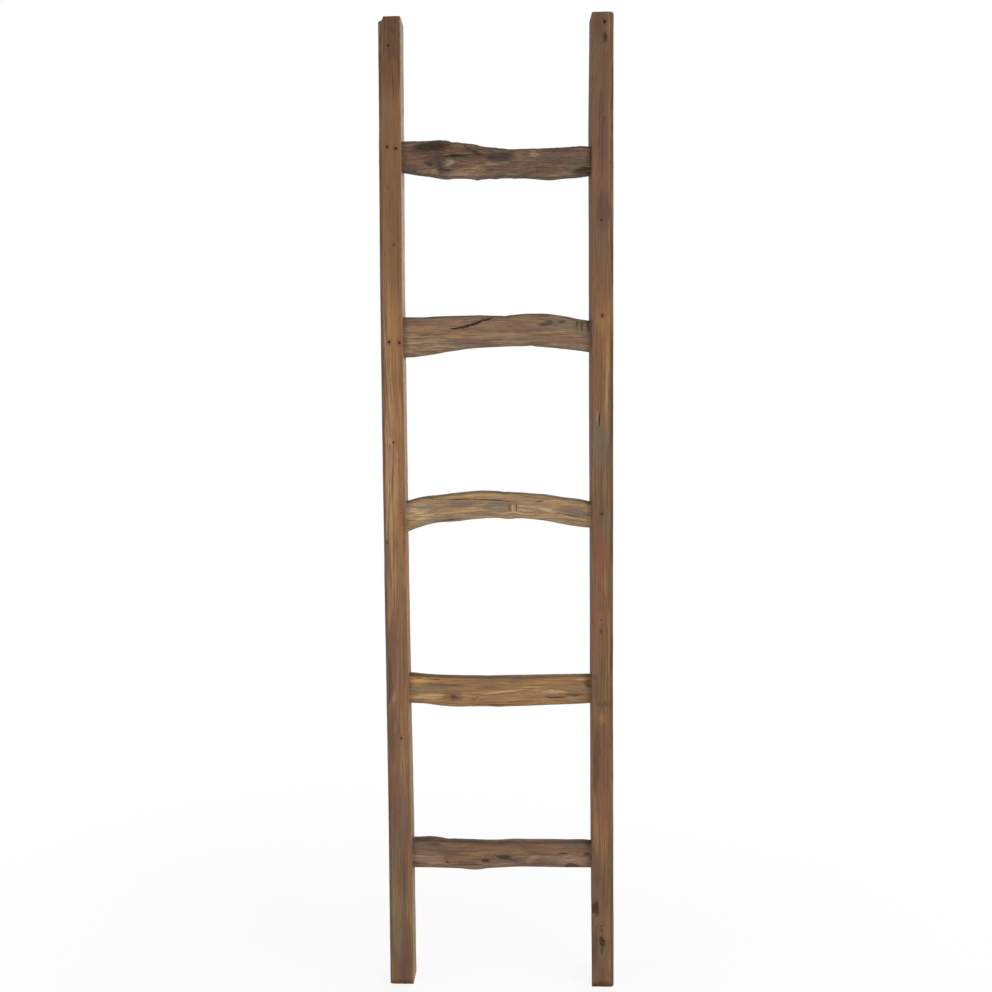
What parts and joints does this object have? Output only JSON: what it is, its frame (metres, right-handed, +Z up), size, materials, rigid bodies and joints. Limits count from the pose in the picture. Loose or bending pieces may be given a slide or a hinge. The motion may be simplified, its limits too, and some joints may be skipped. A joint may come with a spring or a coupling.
{
  "type": "blanket ladder",
  "caption": "Leaning blanket ladder of rough reclaimed timber: square rails and crooked slab rungs, tenoned and nailed, for hanging throws and towels.",
  "frame": {"origin": "centre of the footprint, on the floor between the feet of the rails, with the ladder upright", "axes": "+Z up along the rails, +X across the ladder to the right as seen from the front, +Y from the front towards the wall"},
  "size_m": [0.429, 0.05, 1.8],
  "materials": {
    "rail_timber": "reclaimed, hand planed, unsealed",
    "sawn_rung_timber": "sawn and lightly sanded, natural edges",
    "rough_rung_timber": "weathered, knotty",
    "nail_iron": "dull, lightly rusted"
  },
  "bodies": {
    "root": {"left_rail": "rail_timber", "right_rail": "rail_timber", "bottom_rung": "sawn_rung_timber", "lower_rung": "sawn_rung_timber", "middle_rung": "sawn_rung_timber", "upper_rung": "sawn_rung_timber", "top_rung": "rough_rung_timber", "front_nails": "nail_iron", "back_nails": "nail_iron"}
  },
  "joints": []
}
